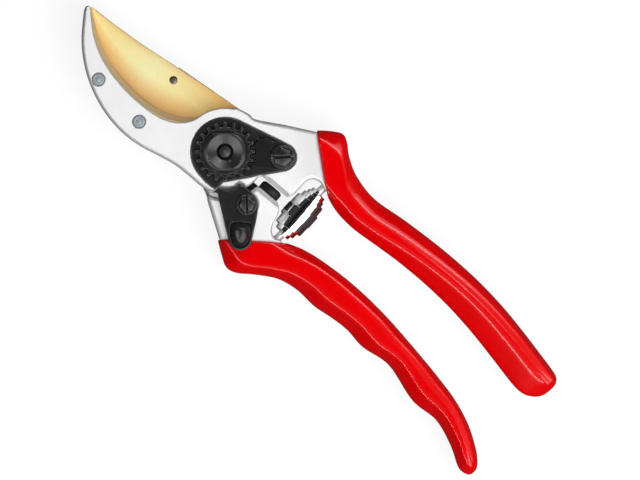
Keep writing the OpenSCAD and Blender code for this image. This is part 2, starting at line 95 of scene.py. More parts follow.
# ---------- plane geometry
def smooth(points, n=5):
    """A smooth line through the points, with n steps between each two."""
    p = [np.array(q, float) for q in points]
    out = []
    for i in range(len(p) - 1):
        a, b, c, d = p[max(i - 1, 0)], p[i], p[i + 1], p[min(i + 2, len(p) - 1)]
        for k in range(n):
            t = k / n
            out.append(0.5 * (2 * b + (c - a) * t + (2 * a - 5 * b + 4 * c - d) * t * t
                              + (3 * b - a - 3 * c + d) * t ** 3))
    out.append(p[-1])
    return [tuple(q) for q in out]


def spot(r, degrees):
    """The point at a radius and an angle about the pivot."""
    return (r * math.cos(math.radians(degrees)), r * math.sin(math.radians(degrees)))


def arc(r, start, end, n=12, at=(0, 0)):
    """Points of a circular arc, with its start and end in degrees."""
    angles = np.radians(np.linspace(start, end, n + 1))
    return [(at[0] + r * math.cos(a), at[1] + r * math.sin(a)) for a in angles]


def toward(a, b, d):
    """The point at distance d from a on the way to b."""
    a, b = np.array(a, float), np.array(b, float)
    return tuple(a + (b - a) / np.linalg.norm(b - a) * d)


# Side lines and outlines in plan; lines used in pairs have as many points as each other
HOOK_INNER = [(3.2, 15.0), (-0.6, 16.1), (-4.6, 19.2), (-7.4, 24.0), (-8.9, 30.5), (-9.4, 38.5),
              (-8.9, 47.0), (-7.0, 55.0), (-3.8, 61.7), (0.1, 66.8), (2.3, 69.4)]
HOOK_OUTER = [(0.2, 70.4), (-3.0, 67.9), (-8.0, 63.5), (-12.4, 58.2), (-16.0, 52.2), (-18.8, 45.2),
              (-20.5, 37.6), (-20.8, 30.0), (-19.8, 23.0), (-17.6, 15.8), (-15.8, 9.5),
              (-15.0, 3.0), (-14.6, -2.0), (-13.9, -5.2), (-12.9, -7.2)]
FRONT_HEAD = (arc(HUB_R, 10, 78, 24) + smooth(HOOK_INNER, 8) + [(2.6, 70.2), (1.5, 70.9)]
              + smooth(HOOK_OUTER, 8) + [(-10.7, -7.3)] + arc(12.9, 218, 242, 8)
              + [(-5.4, -11.2), (-4.5, -11.3)] + arc(14.5, 255, 279, 8))
FRONT_ARM = ([(3.1, -15.4)]
             + smooth([(4.1, -26.3), (5.6, -27.4), (8.6, -27.6), (12.6, -27.4), (15.0, -28.5),
                       (16.0, -30.9), (15.7, -33.3), (15.1, -35.5)], 6)
             + [toward(FRONT_MOUTH[1], FRONT_MOUTH[0], 0.6)]
             + smooth([(22.0, -8.8), (16.6, -1.0), (15.3, 1.4), (14.95, 3.5), (14.3, 6.0),
                       (13.3, 8.4)], 6)
             + [(0, 0), (2.3, -14.3)])
REAR_ARM = ([(-0.4, -15.0)]
            + smooth([(0.5, -25.4), (-0.7, -27.4), (-3.0, -28.8), (-6.0, -29.7), (-8.2, -31.3),
                      (-9.0, -33.3), (-8.7, -35.3), (-8.1, -37.3)], 6)
            + [toward(REAR_MOUTH[1], REAR_MOUTH[0], 0.6)]
            + smooth([(-16.7, -7.9), (-15.7, -6.4), (-14.6, -3.6), (-13.6, -0.5)], 6)
            + [(0, 0)])
SUPPORT = ([(-10.0, 9.0), (-6.5, 17.0), (-1.0, 26.0), (2.6, 32.5)]
           + arc(2.6, 150, 30, 10, (5.6, 33.0))
           + smooth([(9.6, 32.6), (10.7, 26.5), (12.0, 19.5), (13.2, 12.2), (13.6, 7.0)], 6)
           + [(0, 0)])
BLADE_SPINE = [(3.0, 69.6), (3.5, 65.5), (4.1, 60.5), (5.0, 54.5), (6.0, 48.5), (7.2, 42.5),
               (8.5, 36.5), (9.7, 30.5), (10.9, 24.5), (12.1, 18.5), (13.2, 12.8), (14.3, 6.5)]
BLADE_EDGE = [(2.5, 69.4), (-1.4, 65.0), (-4.9, 59.6), (-7.4, 53.6), (-9.1, 47.2), (-9.9, 40.8),
              (-9.9, 34.4), (-9.0, 28.2), (-7.2, 22.4), (-6.8, 17.6), (-8.6, 12.6), (-10.9, 8.8)]
PLATE_OUTER = [(1.2, 70.0), (-2.6, 67.0), (-7.6, 62.4), (-11.8, 57.2), (-15.2, 51.2), (-17.8, 44.4),
               (-19.2, 37.2), (-19.4, 30.0), (-18.4, 23.2), (-16.4, 16.4), (-14.7, 9.9), (-13.9, 3.0)]
PLATE_EDGE = [(2.6, 69.6), (0.7, 66.4), (-2.1, 61.7), (-4.9, 55.8), (-6.6, 49.6), (-7.4, 43.2),
              (-7.5, 36.8), (-6.9, 31.0), (-5.4, 25.6), (-2.8, 20.6), (0.8, 16.6), (4.6, 13.4)]
TEARDROP = (arc(12.15, 18.7, 178, 48) + [(-12.35, -2.5), (-12.1, -5.2), (-11.5, -6.8), (-8.0, -6.9)]
            + arc(4.8, 235, 377.7, 32, (SEGMENT_AT[0] + 0.1, SEGMENT_AT[1])))
CATCH = ([(-10.3, -7.5), (-10.9, -7.2), (-11.7, -7.6)]
         + arc(4.2, 149, 307, 24, (-17.8, -25.3))
         + smooth([(-11.8, -26.4), (-8.4, -24.2), (-5.4, -21.9), (-3.9, -19.6), (-3.5, -17.0),
                   (-3.6, -14.4), (-4.1, -12.5), (-4.9, -11.5)], 6)
         + smooth([(-6.1, -12.3), (-7.4, -12.1), (-8.6, -11.0), (-9.5, -9.5), (-10.1, -8.1)], 6))
FRONT_GRIP_INNER = [(14.4, -36.5), (13.5, -39.6), (12.9, -42.8), (12.7, -45.6), (12.7, -48.6),
                    (13.0, -52.6), (14.3, -60.5), (15.9, -71.0), (17.0, -83.5), (17.2, -95.0),
                    (16.5, -107.0),
                    (15.1, -119.0), (13.9, -128.5), (13.8, -133.0), (14.6, -135.8), (16.5, -138.4),
                    (18.7, -139.8), (20.8, -140.3)]
FRONT_GRIP_OUTER = [(28.1, -17.4), (31.5, -21.2), (33.7, -24.9), (32.6, -28.1), (29.6, -32.2),
                    (26.6, -39.0), (25.4, -49.0), (27.7, -62.5), (29.8, -78.5), (30.8, -94.0),
                    (30.5, -107.5),
                    (29.3, -119.5), (28.1, -128.5), (27.4, -133.6), (26.9, -136.6), (26.2, -138.7),
                    (24.7, -140.0), (23.0, -140.4)]
REAR_GRIP_INNER = [(-7.3, -38.2), (-6.2, -40.6), (-5.2, -43.0), (-4.5, -45.3), (-3.7, -48.3),
                   (-2.7, -53.5), (-1.7, -60.5), (-1.1, -67.5), (-0.9, -75.0), (-1.0, -82.5), (-1.6, -92.0),
                   (-2.3, -100.5), (-3.3, -110.0), (-4.7, -119.3), (-7.4, -128.3), (-11.0, -135.4),
                   (-13.4, -138.9), (-15.4, -140.9), (-16.9, -141.7)]
REAR_GRIP_OUTER = [(-23.7, -20.0), (-26.4, -24.6), (-28.4, -28.9), (-27.3, -32.9), (-23.0, -38.1),
                   (-18.4, -44.9), (-16.4, -52.5), (-16.2, -60.5), (-14.7, -68.2), (-13.9, -75.0),
                   (-14.3, -83.0), (-12.3, -94.0), (-15.2, -108.5), (-14.2, -119.3), (-16.8, -129.0),
                   (-20.2, -136.1),
                   (-20.5, -139.0), (-19.8, -140.9), (-18.7, -141.7)]


# ---------- solids as distance fields
def squared_distance(x, y, a, b):
    """Squared distance in the plane to the segment a-b."""
    e = b - a
    wx, wy = x - a[0], y - a[1]
    t = np.clip((wx * e[0] + wy * e[1]) / max(e @ e, 1e-12), 0, 1)
    return (wx - e[0] * t) ** 2 + (wy - e[1] * t) ** 2


def plan(outline, x, y):
    """Signed distance in the plane to a closed outline, negative inside."""
    x, y = x[:, :, 0], y[:, :, 0]
    best = np.full(np.broadcast(x, y).shape, 1e9, np.float32)
    inside = np.zeros(best.shape, bool)
    pts = [np.array(p, float) for p in outline]
    for a, b in zip(pts, pts[1:] + pts[:1]):
        e = b - a
        if e @ e < 1e-12:
            continue
        best = np.minimum(best, squared_distance(x, y, a, b))
        if a[1] != b[1]:
            spans = (y >= min(a[1], b[1])) & (y < max(a[1], b[1]))
            inside ^= spans & (x < a[0] + (y - a[1]) * e[0] / e[1])
    return (np.where(inside, -1, 1) * np.sqrt(best)).astype(np.float32)[:, :, None]


def prism(flat, z, low, high, top_r=0.0, low_r=0.0):
    """An outline's field pulled up from low to high, its edges rounded."""
    mid, half = (low + high) / 2, (high - low) / 2
    r = np.where(z > mid, top_r, low_r)
    side, end = flat + r, np.abs(z - mid) - half + r
    return np.minimum(np.maximum(side, end), 0) + np.hypot(np.maximum(side, 0), np.maximum(end, 0)) - r


def melt(a, b, k):
    """a and b joined, with the inner edge between them filled over about k."""
    h = np.clip(0.5 + 0.5 * (b - a) / k, 0, 1)
    return b + (a - b) * h - k * h * (1 - h)


def cut(a, b, k):
    """a without b, with the new edge rounded over about k."""
    return -melt(-a, b, k)


def both(a, b, k):
    """What a and b share, with the new edge rounded over about k."""
    return -melt(-a, -b, k)


def along(line, x, y):
    """Distance in the plane to an open line."""
    x, y = x[:, :, 0], y[:, :, 0]
    best = np.full(np.broadcast(x, y).shape, 1e9, np.float32)
    pts = [np.array(p, float) for p in line]
    for a, b in zip(pts, pts[1:]):
        best = np.minimum(best, squared_distance(x, y, a, b))
    return np.sqrt(best)[:, :, None]


def ramp(v, a, b):
    """0 up to a, 1 from b on, and smooth between."""
    t = np.clip((v - a) / (b - a), 0, 1)
    return t * t * (3 - 2 * t)


def carve(name, field, low, high, h):
    """A mesh on the zero level of a field that is sampled every h mm between two corners.

    Each cell that the level passes through gets one point, at the mean of its edges' crossings,
    and each grid edge that crosses the level gets a quad between the four cells round it."""
    axes = [np.arange(a - 1.5 * h, b + 2.5 * h, h, dtype=np.float32) for a, b in zip(low, high)]
    x, y, z = axes[0][:, None, None], axes[1][None, :, None], axes[2][None, None, :]
    d = np.ascontiguousarray(np.broadcast_to(field(x, y, z), [len(a) for a in axes]), np.float32)
    neg = d < 0
    count = np.zeros([n - 1 for n in d.shape], np.int8)
    for o in itertools.product((0, 1), repeat=3):
        count += neg[tuple(slice(k, k + n - 1) for k, n in zip(o, d.shape))]
    cells = np.argwhere((count > 0) & (count < 8))
    index = np.full(count.shape, -1, np.int32)
    index[tuple(cells.T)] = np.arange(len(cells))
    total, hits = np.zeros((len(cells), 3)), np.zeros(len(cells))
    for axis in range(3):
        for u, v in itertools.product((0, 1), repeat=2):
            a = cells.copy()
            a[:, (axis + 1) % 3] += u
            a[:, (axis + 2) % 3] += v
            b = a.copy()
            b[:, axis] += 1
            da, db = d[tuple(a.T)], d[tuple(b.T)]
            m = (da < 0) != (db < 0)
            p = a[m].astype(float)
            p[:, axis] += da[m] / (da[m] - db[m])
            total[m] += p
            hits[m] += 1
    at = total / hits[:, None]
    base = np.minimum(at.astype(int), np.array(d.shape) - 2)
    frac = at - base
    normals = np.zeros_like(at)
    for axis in range(3):
        for u, v in itertools.product((0, 1), repeat=2):
            a = base.copy()
            a[:, (axis + 1) % 3] += u
            a[:, (axis + 2) % 3] += v
            b = a.copy()
            b[:, axis] += 1
            fu, fv = frac[:, (axis + 1) % 3], frac[:, (axis + 2) % 3]
            w = (fu if u else 1 - fu) * (fv if v else 1 - fv)
            normals[:, axis] += w * (d[tuple(b.T)] - d[tuple(a.T)])
    normals /= np.maximum(np.linalg.norm(normals, axis=1, keepdims=True), 1e-9)
    quads = []
    for axis in range(3):
        j, k = (axis + 1) % 3, (axis + 2) % 3
        lower = neg.take(range(d.shape[axis] - 1), axis)
        e = np.argwhere(lower != neg.take(range(1, d.shape[axis]), axis))
        e = e[(e[:, j] > 0) & (e[:, k] > 0) & (e[:, j] < d.shape[j] - 1) & (e[:, k] < d.shape[k] - 1)]
        ring = []
        for u, v in ((1, 1), (0, 1), (0, 0), (1, 0)):
            c = e.copy()
            c[:, j] -= u
            c[:, k] -= v
            ring.append(index[tuple(c.T)])
        q = np.stack(ring, 1)
        out = lower[tuple(e.T)]
        q[~out] = q[~out][:, ::-1]
        quads.append(q)
    quads = np.concatenate(quads)
    origin = np.array([a[0] for a in axes])
    return mesh_object(name, (origin + at * h) * MM, quads, normals)


def mesh_object(name, verts, quads, normals):
    me = bpy.data.meshes.new(name)
    me.vertices.add(len(verts))
    me.vertices.foreach_set("co", np.asarray(verts, np.float32).ravel())
    me.loops.add(quads.size)
    me.loops.foreach_set("vertex_index", np.asarray(quads, np.int32).ravel())
    me.polygons.add(len(quads))
    me.polygons.foreach_set("loop_start", np.arange(0, quads.size, quads.shape[1], dtype=np.int32))
    me.polygons.foreach_set("use_smooth", np.ones(len(quads), bool))
    me.update(calc_edges=True)
    me.validate()
    me.normals_split_custom_set_from_vertices(normals.tolist())
    ob = bpy.data.objects.new(name, me)
    scene.collection.objects.link(ob)
    return ob


def from_faces(name, verts, faces):
    """A smooth-shaded object from points in mm and faces of any number of corners."""
    me = bpy.data.meshes.new(name)
    me.from_pydata([tuple(np.array(v) * MM) for v in verts], [], faces)
    me.polygons.foreach_set("use_smooth", [True] * len(me.polygons))
    me.update()
    me.validate()
    ob = bpy.data.objects.new(name, me)
    scene.collection.objects.link(ob)
    return ob


def loft(name, rings):
    """A tube through rings of n points each, each end closed by one face."""
    n = len(rings[0])
    verts = [p for r in rings for p in r]
    faces = []
    for i in range(len(rings) - 1):
        for j in range(n):
            a, b = i * n + j, i * n + (j + 1) % n
            faces.append((a, b, b + n, a + n))
    faces.append(tuple(range(n))[::-1])
    faces.append(tuple((len(rings) - 1) * n + j for j in range(n)))
    return from_faces(name, verts, faces)


def turn(name, profile, at=(0, 0), segments=96):
    """A solid of revolution about the line x, y = at, from (r, z) points."""
    verts, faces, rings = [], [], []
    for r, z in profile:
        if r < 1e-6:
            rings.append([len(verts)])
            verts.append((at[0], at[1], z))
        else:
            rings.append(list(range(len(verts), len(verts) + segments)))
            verts += [(at[0] + r * math.cos(t), at[1] + r * math.sin(t), z)
                      for t in np.linspace(0, 2 * math.pi, segments, endpoint=False)]
    for a, b in zip(rings, rings[1:] + rings[:1]):
        if len(a) == 1 and len(b) == 1:
            continue
        for j in range(segments):
            k = (j + 1) % segments
            if len(a) == 1:
                faces.append((a[0], b[k], b[j]))
            elif len(b) == 1:
                faces.append((a[j], a[k], b[0]))
            else:
                faces.append((a[j], a[k], b[k], b[j]))
    return from_faces(name, verts, faces)


def fix_normals(ob):
    """Joins doubled points and turns all faces outwards."""
    bm = bmesh.new()
    bm.from_mesh(ob.data)
    bmesh.ops.remove_doubles(bm, verts=bm.verts, dist=1e-7)
    bmesh.ops.recalc_face_normals(bm, faces=bm.faces)
    bm.to_mesh(ob.data)
    bm.free()
    return ob


def soften(ob, width):
    """Rounds the edges that turn by more than 30 degrees, width in mm."""
    m = ob.modifiers.new("edges", "BEVEL")
    m.width, m.segments = width * MM, 3
    m.limit_method, m.angle_limit = "ANGLE", math.radians(30)
    m.harden_normals = True
    m.use_clamp_overlap = True
    for p in ob.data.polygons:
        p.use_smooth = True


def crisp(ob, degrees):
    """Shades an object smooth except at edges that turn by more than an angle."""
    ob.data.shade_smooth()
    ob.data.set_sharp_from_angle(angle=math.radians(degrees))


# ---------- materials
def material(name):
    m = bpy.data.materials.new(name)
    m.use_nodes = True
    nt = m.node_tree
    return m, nt, nt.nodes["Principled BSDF"]


def node(nt, kind, **values):
    """A new node; each value goes to its property of that name, or else to its input."""
    n = nt.nodes.new(kind)
    for k, v in values.items():
        if hasattr(n, k):
            setattr(n, k, v)
        else:
            n.inputs[k.replace("_", " ")].default_value = v
    return n


def texture(nt, scale, detail, stretch=(1, 1, 1), turned=0.0):
    """A noise in the object's own millimetres: scale is the number of features per mm."""
    coord = node(nt, "ShaderNodeTexCoord")
    mapping = node(nt, "ShaderNodeMapping")
    mapping.inputs["Scale"].default_value = [s / MM for s in stretch]
    spin = node(nt, "ShaderNodeMapping")
    spin.inputs["Rotation"].default_value = (0, 0, turned)
    noise = node(nt, "ShaderNodeTexNoise")
    noise.inputs["Scale"].default_value = scale
    noise.inputs["Detail"].default_value = detail
    noise.inputs["Roughness"].default_value = 0.55
    nt.links.new(coord.outputs["Object"], spin.inputs["Vector"])
    nt.links.new(spin.outputs["Vector"], mapping.inputs["Vector"])
    nt.links.new(mapping.outputs["Vector"], noise.inputs["Vector"])
    return noise.outputs["Fac"]


def colours(nt, fac, stops):
    """A colour ramp of (position, colour) stops over a factor."""
    r = node(nt, "ShaderNodeValToRGB")
    e = r.color_ramp.elements
    while len(e) < len(stops):
        e.new(0.5)
    for el, (p, c) in zip(e, stops):
        el.position, el.color = p, (*c, 1)
    nt.links.new(fac, r.inputs["Fac"])
    return r.outputs["Color"]


def spread(nt, fac, low, high, src=(0.3, 0.7)):
    """A factor's range src mapped to low and high."""
    m = node(nt, "ShaderNodeMapRange")
    m.inputs["From Min"].default_value, m.inputs["From Max"].default_value = src
    m.inputs["To Min"].default_value, m.inputs["To Max"].default_value = low, high
    nt.links.new(fac, m.inputs["Value"])
    return m.outputs["Result"]


def mixed(nt, a, b, factor=1.0, how="MIX"):
    """Colours a and b mixed; each of the three is a socket or a value."""
    m = node(nt, "ShaderNodeMix", data_type="RGBA", blend_type=how)
    for key, value in (("A", a), ("B", b), ("Factor", factor)):
        if isinstance(value, bpy.types.NodeSocket):
            nt.links.new(value, m.inputs[key])
        else:
            m.inputs[key].default_value = value
    return m.outputs["Result"]


def surface(nt, bsdf, colour, rough):
    nt.links.new(colour, bsdf.inputs["Base Color"])
    nt.links.new(rough, bsdf.inputs["Roughness"])


def bump(nt, bsdf, fac, depth_mm, strength):
    b = node(nt, "ShaderNodeBump")
    b.inputs["Distance"].default_value = depth_mm * MM
    b.inputs["Strength"].default_value = strength
    nt.links.new(fac, b.inputs["Height"])
    nt.links.new(b.outputs["Normal"], bsdf.inputs["Normal"])


def aluminium():
    m, nt, p = material("forged_aluminium")
    fine, broad = texture(nt, 3.2, 4), texture(nt, 0.12, 2)
    surface(nt, p, colours(nt, broad, [(0.35, (0.92, 0.92, 0.925)), (0.65, (0.96, 0.96, 0.955))]),
            spread(nt, fine, 0.33, 0.42))
    p.inputs["Metallic"].default_value = 0.38
    bump(nt, p, fine, 0.012, 0.5)
    return m


def steel(name, tint, rough, metallic=0.9, streak=(0.4, 6, 0.4), depth=0.006):
    """A brushed metal; streak stretches the brush lines' noise along x, y and z."""
    m, nt, p = material(name)
    lines = texture(nt, 1.2, 4, streak)
    dark = tuple(0.86 * c for c in tint)
    surface(nt, p, colours(nt, lines, [(0.3, dark), (0.7, tint)]), spread(nt, lines, *rough))
    p.inputs["Metallic"].default_value = metallic
    bump(nt, p, lines, depth, 0.5)
    return m


def black_steel(name="black_steel", base=0.012, rough=(0.25, 0.36), gloss=0.6):
    """Blackened steel, lighter on its edges, where it is wear and a painted highlight, and with painted
    shade in its concave corners.
    """
    m, nt, p = material(name)
    fine, broad = texture(nt, 5.0, 5), texture(nt, 0.35, 3)
    low, high = (0.75 * base, 0.76 * base, 0.8 * base), (1.35 * base, 1.38 * base, 1.45 * base)
    shape = node(nt, "ShaderNodeNewGeometry").outputs["Pointiness"]
    plain = colours(nt, broad, [(0.3, low), (0.72, high)])
    # Lighter on convex edges: wear, and a painted highlight along the edges
    worn_and_highlit = mixed(nt, plain, (0.22, 0.22, 0.225, 1), spread(nt, shape, 0, 0.9, (0.52, 0.57)))
    # Near black in concave corners: painted shade
    corner_shaded = mixed(nt, worn_and_highlit, (0.001, 0.001, 0.001, 1), spread(nt, shape, 0.9, 0, (0.42, 0.485)))
    surface(nt, p, corner_shaded, spread(nt, fine, *rough))
    p.inputs["Metallic"].default_value = 0.0
    p.inputs["Specular IOR Level"].default_value = gloss
    bump(nt, p, fine, 0.012, 0.55)
    return m


def red_vinyl():
    m, nt, p = material("red_grip")
    peel, broad = texture(nt, 0.55, 2), texture(nt, 0.05, 2)
    surface(nt, p, colours(nt, broad, [(0.3, (0.84, 0.0, 0.001)), (0.7, (0.90, 0.0, 0.002))]),
            spread(nt, peel, 0.12, 0.17))
    p.inputs["Specular IOR Level"].default_value = 0.5
    bump(nt, p, peel, 0.010, 0.5)
    return m


def gold_blade():
    """Brushed gold coating with painted reflection and shade: pale in the middle, more orange at the back,
    darker towards the cutting edge with a painted dark brown shadow line under the hook plate's edge, and
    darker towards the tip and the heel, painted shade by the hub at the heel; 'across' runs from 0 on the
    back to 1 on the cutting edge, and 'along' from 0 at the tip to 1 at the heel."""
    m, nt, p = material("blade_coated")
    across = node(nt, "ShaderNodeAttribute", attribute_name="across")
    lengthwise = node(nt, "ShaderNodeAttribute", attribute_name="along")
    lines = texture(nt, 1.6, 5, stretch=(0.25, 3.2, 1), turned=math.radians(-38))
    # Painted reflection and shade across the blade: pale middle, darker towards the edge, painted dark
    # brown shadow under the hook plate's edge
    painted_sheen_and_shade = colours(nt, across.outputs["Fac"], [
        (0.0, (0.96, 0.72, 0.33)), (0.14, (1.0, 0.92, 0.46)), (0.42, (1.0, 0.97, 0.51)),
        (0.66, (0.90, 0.64, 0.25)), (0.82, (0.72, 0.43, 0.14)), (0.885, (0.36, 0.18, 0.05))])
    # Darker and more orange towards the tip and the heel; at the heel it is painted shade by the hub
    lengthwise_shade = colours(nt, lengthwise.outputs["Fac"], [
        (0.0, (1.0, 0.82, 0.62)), (0.22, (1.0, 0.86, 0.68)), (0.5, (1.0, 1.0, 1.0)),
        (0.74, (1.0, 0.84, 0.66)), (0.88, (1.0, 0.72, 0.45)), (1.0, (0.88, 0.60, 0.36))])
    grain = colours(nt, lines, [(0.3, (0.90, 0.88, 0.84)), (0.7, (1, 1, 1))])
    shaded_sheen = mixed(nt, painted_sheen_and_shade, lengthwise_shade, 1.0, "MULTIPLY")
    surface(nt, p, mixed(nt, shaded_sheen, grain, 1.0, "MULTIPLY"), spread(nt, lines, 0.30, 0.42))
    p.inputs["Metallic"].default_value = 0.22
    bump(nt, p, lines, 0.008, 0.6)
    return m


def rubber():
    m, nt, p = material("black_rubber")
    fine = texture(nt, 2.5, 3)
    surface(nt, p, colours(nt, fine, [(0.3, (0.012, 0.012, 0.012)), (0.7, (0.022, 0.022, 0.022))]),
            spread(nt, fine, 0.5, 0.7))
    bump(nt, p, fine, 0.02, 0.6)
    return m


def gloss_black():
    m, nt, p = material("black_plastic")
    fine = texture(nt, 0.8, 2)
    surface(nt, p, colours(nt, fine, [(0.3, (0.010, 0.010, 0.011)), (0.7, (0.016, 0.016, 0.017))]),
            spread(nt, fine, 0.26, 0.33))
    bump(nt, p, fine, 0.006, 0.4)
    return m


ALUMINIUM = aluminium()
GOLD = gold_blade()
# The tan tint is a painted reflection of the gold blade in the hook plate's bevel
HOOK_STEEL_WITH_PAINTED_REFLECTION = steel("hardened_steel", (0.72, 0.55, 0.32), rough=(0.3, 0.42), metallic=0.35, depth=0.002)
BRIGHT = steel("bright_steel", (0.70, 0.73, 0.76), rough=(0.25, 0.4), metallic=0.75)
RIVET_STEEL = steel("rivet_steel", (0.47, 0.55, 0.58), rough=(0.4, 0.5), metallic=0.25, depth=0.003)
BLACK = black_steel()
BLACK_DARK = black_steel("black_steel_dark", 0.006, (0.42, 0.55), 0.25)
RED = red_vinyl()
RUBBER = rubber()
GLOSS = gloss_black()
CHROME = steel("spring_chrome", (0.92, 0.93, 0.95), rough=(0.05, 0.12), metallic=1.0, streak=(3, 0.5, 3),
               depth=0.002)
BRONZE = steel("bronze", (0.55, 0.36, 0.17), rough=(0.3, 0.42))


def finish_piece(ob, mat, slot, body, *nodes):
    """Gives a piece its material and body, and hides the CAD nodes that it stands in for; slot is not used.
    """
    ob.data.materials.clear()
    ob.data.materials.append(mat)
    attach(ob, body)
    if nodes:
        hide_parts(*nodes)
    return ob


def paint_gap_shade(ob, where):
    """Painted shade: the dark black steel material on the faces that look up out of a gap."""
    ob.data.materials.append(BLACK_DARK)
    for f in ob.data.polygons:
        x, y, z = f.center / MM
        if f.normal.z > 0.5 and where(x, y, z):
            f.material_index = 1


def radius(x, y, at=(0, 0)):
    return np.hypot(x - at[0], y - at[1])


def local(x, y, at, degrees):
    """Plane coordinates from a point, along and across a direction."""
    c, s = math.cos(math.radians(degrees)), math.sin(math.radians(degrees))
    dx, dy = x - at[0], y - at[1]
    return dx * c + dy * s, -dx * s + dy * c


def beyond(x, y, a, b, side):
    """Distance from the line a-b, positive on the side of a given point."""
    a, b = np.array(a), np.array(b)
    e = (b - a) / np.linalg.norm(b - a)
    n = np.array((-e[1], e[0]))
    if n @ (np.array(side) - a) < 0:
        n = -n
    return (x - a[0]) * n[0] + (y - a[1]) * n[1]


def tang(x, y, z, left, right):
    """The start of the tang inside a grip, from the grip's own two side lines."""
    inset, reach = 2.3, 20
    pairs = list(zip(smooth(left, 8)[1:reach], smooth(right, 8)[1:reach]))
    outline = [toward(a, b, inset) for a, b in pairs] + [toward(b, a, inset) for a, b in pairs[::-1]]
    return prism(plan(outline, x, y), z, *TANG_Z, 3.6, 3.6)


def spring_peg(x, y, z, at, shift):
    """The round peg that one end of the spring sits on."""
    return np.maximum(np.hypot(y - at[1], z - GRIP_MID) - PEG_R, np.abs(x - at[0] - shift) - PEG_HALF)


def facet_chamfer(x, y, z, a, b, top, inner):
    """Field of a 45 degree chamfer along the facet a-b; inner is a point on the metal's side."""
    out = -beyond(x, y, a, b, inner)
    return (out + z - top + FACET_CHAMFER) * math.sqrt(0.5) - 40 * ramp(y, a[1] - 1.4, a[1] + 0.6)


# ---------- forgings
def front_field(x, y, z):
    """Head and hook arm above the hook plate, the arm down to the grip, and the start of its tang."""
    r = radius(x, y)
    head, arm = plan(FRONT_HEAD, x, y), plan(FRONT_ARM, x, y)
    whole = melt(head, arm, 1.2)
    outer = ramp(along(HOOK_INNER, x, y) - along(HOOK_OUTER, x, y), -1.5, 1.5)
    edge = 0.2 + outer + 0.2 * ramp(-y, 1, 12) + 1.0 * ramp(x, 11, 17) * ramp(x + y, -4, 6)
    top = prism(whole, z, *FRONT_Z, edge, 0.25)
    deep = prism(arm, z, ARM_LOW, FRONT_Z[1], edge, 1.6)
    deep = cut(deep, np.maximum(r - 17.5, z - HOOK_Z[0]), 0.5)
    deep = cut(deep, np.maximum(r - 14.25, z - HOOK_Z[1]), 0.2)
    d = np.minimum(top, deep)
    rise = beyond(x, y, *FRONT_MOUTH, (0, 0))
    d = both(d, (z - 15.5 - 0.172 * rise) * 0.985, 1.2)
    d = both(d, facet_chamfer(x, y, z, FRONT_ARM[0], FRONT_ARM[1], FRONT_Z[1], (12, -22)), 0.25)
    d = cut(d, prism(plan(TEARDROP, x, y) - 0.08, z, PLATE_Z[0], 22), 0.1)
    for p in RIVETS_AT:
        d = cut(d, np.maximum(radius(x, y, p) - 2.32, 16.0 - z), 0.15)
    d = np.maximum(d, BOLT_FIT_R - r)
    d = np.minimum(d, spring_peg(x, y, z, SPRING_TO, 0.2))
    return np.minimum(d, tang(x, y, z, FRONT_GRIP_INNER, FRONT_GRIP_OUTER))


def rear_field(x, y, z):
    """The arm with the catch's boss, the round head and tongue behind the blade, and its tang."""
    r = radius(x, y)
    edge = 0.4 + 1.1 * ramp(y - x, -8, 2)
    d = prism(plan(REAR_ARM, x, y), z, ARM_LOW, REAR_TOP, edge, 1.6)
    d = cut(d, np.maximum(r - 16.4, HOOK_Z[0] - 0.03 - z), 1.6)
    d = cut(d, np.maximum(r - 14.42, HEAD_REAR[1] - z), 0.2)
    tongue = prism(melt(plan(SUPPORT, x, y), r - REAR_HUB_R, 3.0), z, 2.6, HEAD_REAR[1], 0.2, 0.9)
    head = prism(r - REAR_HUB_R, z, *HEAD_REAR, 0.2, 1.0)
    d = melt(d, melt(tongue, head, 0.5), 0.4)
    rise = beyond(x, y, *REAR_MOUTH, (0, 0))
    d = both(d, (z - 15.5 - 0.144 * rise) * 0.99, 1.2)
    d = both(d, facet_chamfer(x, y, z, REAR_ARM[0], REAR_ARM[1], REAR_TOP, (-9, -20)), 0.25)
    boss = prism(radius(x, y, CATCH_AT) - 4.3, z, 8, 17.25, 0.3, 0.3)
    d = melt(d, boss, 0.5)
    d = cut(d, np.maximum(r - 7.4, z - 2.7), 0.25)
    d = np.maximum(d, BOLT_RUN_R - r)
    d = np.minimum(d, spring_peg(x, y, z, SPRING_FROM, -0.2))
    return np.minimum(d, tang(x, y, z, REAR_GRIP_OUTER, REAR_GRIP_INNER))


front = carve("forged_front_handle", front_field, (-21, -48, 1.2), (32, 71, 17.3), COARSE)
finish_piece(front, ALUMINIUM, "forged_aluminium", "hook_half", "front_forging")
rear = carve("forged_rear_handle", rear_field, (-28, -48, 0.9), (15, 36, 17.5), COARSE)
finish_piece(rear, ALUMINIUM, "forged_aluminium", "blade_half", "rear_forging")
# Painted shade on the rear forging's faces in the gap round the pivot
paint_gap_shade(rear, lambda x, y, z: y < 0 and x > -6 and z < 11.5 and 14 < math.hypot(x, y) < 16.5)


# ---------- blades
def boolean(ob, other, how="UNION"):
    """Joins other to ob, or takes it away, and removes it."""
    m = ob.modifiers.new("join", "BOOLEAN")
    m.operation, m.solver, m.object = how, "EXACT", other
    dg = bpy.context.evaluated_depsgraph_get()
    me = bpy.data.meshes.new_from_object(ob.evaluated_get(dg), preserve_all_data_layers=True, depsgraph=dg)
    ob.modifiers.clear()
    ob.data = me
    bpy.data.objects.remove(other)
    return ob


def blade_strip(name, back, edge, section):
    """A blade body between two paired lines; section gives (share across, z) points round it."""
    b, e = [np.array(p) for p in smooth(back, 8)], [np.array(p) for p in smooth(edge, 8)]
    rings = []
    for i in range(len(b)):
        rings.append([(*(b[i] + (e[i] - b[i]) * s), z) for s, z in section(np.linalg.norm(b[i] - e[i]))])
    return fix_normals(loft(name, rings))


def bored(ob, r, top, at=(0, 0), segments=96):
    """ob with a round hole through it."""
    bore = turn("bore", [(0, 2), (r, 2), (r, top), (0, top)], at, segments)
    return boolean(ob, fix_normals(bore), "DIFFERENCE")


